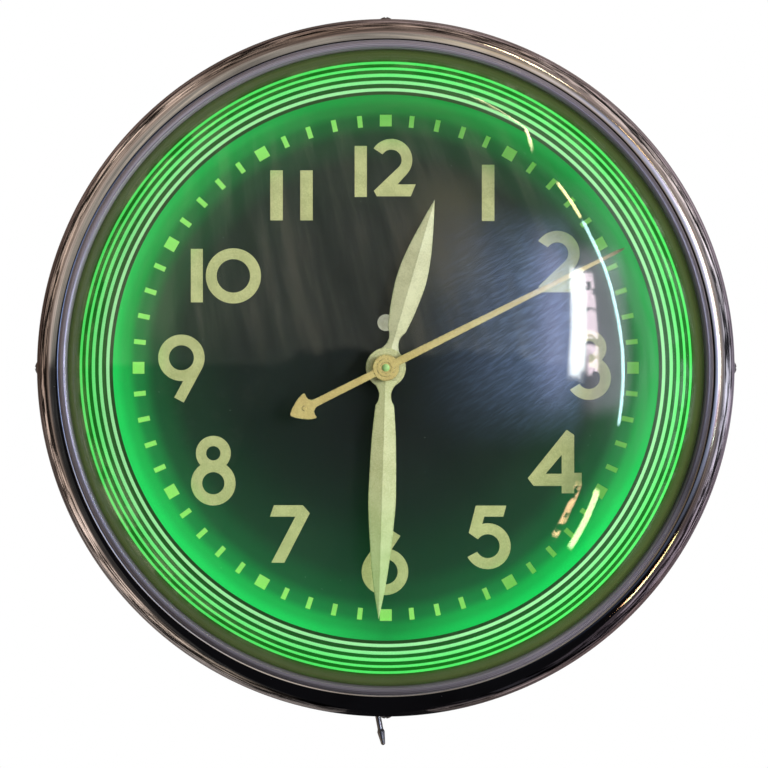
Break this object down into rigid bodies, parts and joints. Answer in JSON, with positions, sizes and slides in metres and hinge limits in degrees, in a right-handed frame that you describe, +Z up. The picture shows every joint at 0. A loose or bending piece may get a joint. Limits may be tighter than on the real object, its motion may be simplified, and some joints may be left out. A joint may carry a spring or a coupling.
{
  "type": "service station advertising clock",
  "caption": "Round neon-lit electric wall clock with a chrome spun bezel, domed glass with lit green stripes, a black dial and cream hands.",
  "frame": {"origin": "centre of the case back's rear face, on the clock's axis, in the wall plane", "axes": "+Z up, the dial faces -Y, +Y points into the wall, +X to the right as seen from the front"},
  "size_m": [0.5118, 0.1826, 0.5339],
  "materials": {
    "case_paint": "satin black enamel over spun steel, lightly crackled",
    "bezel_chrome": "polished chrome with fine spinning lines",
    "dome_glass": "clear blown glass",
    "gasket_rubber": "matte",
    "reflector_white": "gloss white enamel",
    "zinc_steel": "bright zinc plate",
    "dial_black": "matte black paint",
    "print_cream": "matte cream ink",
    "neon_glass": "fluorescent-coated tube, lit green",
    "porcelain": "glazed",
    "bakelite": "moulded brown",
    "ht_lead_rubber": "satin",
    "lead_cloth": "braided",
    "core_steel": "varnished laminations",
    "coil_paper": "varnished wrap",
    "movement_brass": "brushed",
    "hand_cream": "satin cream paint",
    "knob_black": "satin",
    "flag_white": "matte"
  },
  "bodies": {
    "case": {"case_pan": "case_paint", "hanger_plate": "zinc_steel", "cord_bushing": "gasket_rubber", "bezel": "bezel_chrome", "bezel_screws": "zinc_steel", "dome_glass": "dome_glass", "glass_gasket": "gasket_rubber", "reflector_ring": "reflector_white", "reflector_screws": "zinc_steel", "dial": "dial_black", "dial_numerals": "print_cream", "dial_markers": "print_cream", "dial_studs": "zinc_steel", "stud_nuts": "zinc_steel", "stud_spacers": "zinc_steel", "neon_tube": "neon_glass", "tube_supports": "porcelain", "electrode_boots": "bakelite", "ht_leads": "ht_lead_rubber", "transformer_core": "core_steel", "transformer_coil": "coil_paper", "transformer_brackets": "zinc_steel", "transformer_rivets": "zinc_steel", "terminal_block": "bakelite", "switch_body": "bakelite", "switch_nut": "zinc_steel", "switch_leads": "lead_cloth", "motor_can": "zinc_steel", "motor_laminations": "core_steel", "motor_coil": "coil_paper", "motor_screws": "zinc_steel", "motor_leads": "lead_cloth", "back_plate": "movement_brass", "front_plate": "movement_brass", "plate_pillars": "movement_brass", "motion_stud": "zinc_steel", "flag_post": "zinc_steel"},
    "motor_drive": {"drive_pinion": "zinc_steel"},
    "seconds": {"seconds_arbor": "zinc_steel", "seconds_wheel": "movement_brass", "second_hand": "hand_cream", "hand_cap": "hand_cream"},
    "third": {"third_arbor": "zinc_steel", "third_wheel": "movement_brass"},
    "minutes": {"cannon_tube": "movement_brass", "centre_wheel": "movement_brass", "minute_hand": "hand_cream"},
    "hours": {"hour_tube": "movement_brass", "hour_wheel": "movement_brass", "hour_hand": "hand_cream"},
    "motion": {"motion_wheel": "movement_brass"},
    "setting": {"set_arbor": "zinc_steel", "set_knob": "knob_black"},
    "flag": {"indicator_flag": "flag_white"},
    "switch_lever": {"toggle_lever": "zinc_steel"}
  },
  "joints": [
    {"name": "second_turn", "type": "hinge", "parent": "case", "child": "seconds", "pos_m": [0, -0.06, 0], "axis": [0, 1, 0], "continuous": true},
    {"name": "motor_turn", "type": "hinge", "parent": "case", "child": "motor_drive", "pos_m": [0, -0.06, 0.018], "axis": [0, 1, 0], "continuous": true},
    {"name": "third_turn", "type": "hinge", "parent": "case", "child": "third", "pos_m": [-0.018, -0.06, 0], "axis": [0, 1, 0], "continuous": true},
    {"name": "minute_turn", "type": "hinge", "parent": "case", "child": "minutes", "pos_m": [0, -0.09, 0], "axis": [0, 1, 0], "continuous": true},
    {"name": "hour_turn", "type": "hinge", "parent": "case", "child": "hours", "pos_m": [0, -0.1, 0], "axis": [0, 1, 0], "continuous": true},
    {"name": "motion_turn", "type": "hinge", "parent": "case", "child": "motion", "pos_m": [0, -0.083, -0.012], "axis": [0, 1, 0], "continuous": true},
    {"name": "set_turn", "type": "hinge", "parent": "case", "child": "setting", "pos_m": [0, -0.04, -0.024], "axis": [0, 1, 0], "continuous": true},
    {"name": "flag_swing", "type": "hinge", "parent": "case", "child": "flag", "pos_m": [0.022, -0.0918, 0.0329], "axis": [0, -1, 0], "range_deg": [0, 45]},
    {"name": "lever_throw", "type": "hinge", "parent": "case", "child": "switch_lever", "pos_m": [-0.007, -0.055, -0.2495], "axis": [0, 1, 0], "range_deg": [0, 21]}
  ],
  "couplings": [
    {"joint": "motor_turn", "follows": "second_turn", "ratio": -1},
    {"joint": "third_turn", "follows": "second_turn", "ratio": -0.13333},
    {"joint": "minute_turn", "follows": "second_turn", "ratio": 0.016667},
    {"joint": "hour_turn", "follows": "second_turn", "ratio": 0.0013889},
    {"joint": "motion_turn", "follows": "second_turn", "ratio": -0.0055556},
    {"joint": "set_turn", "follows": "second_turn", "ratio": 0.016667}
  ]
}
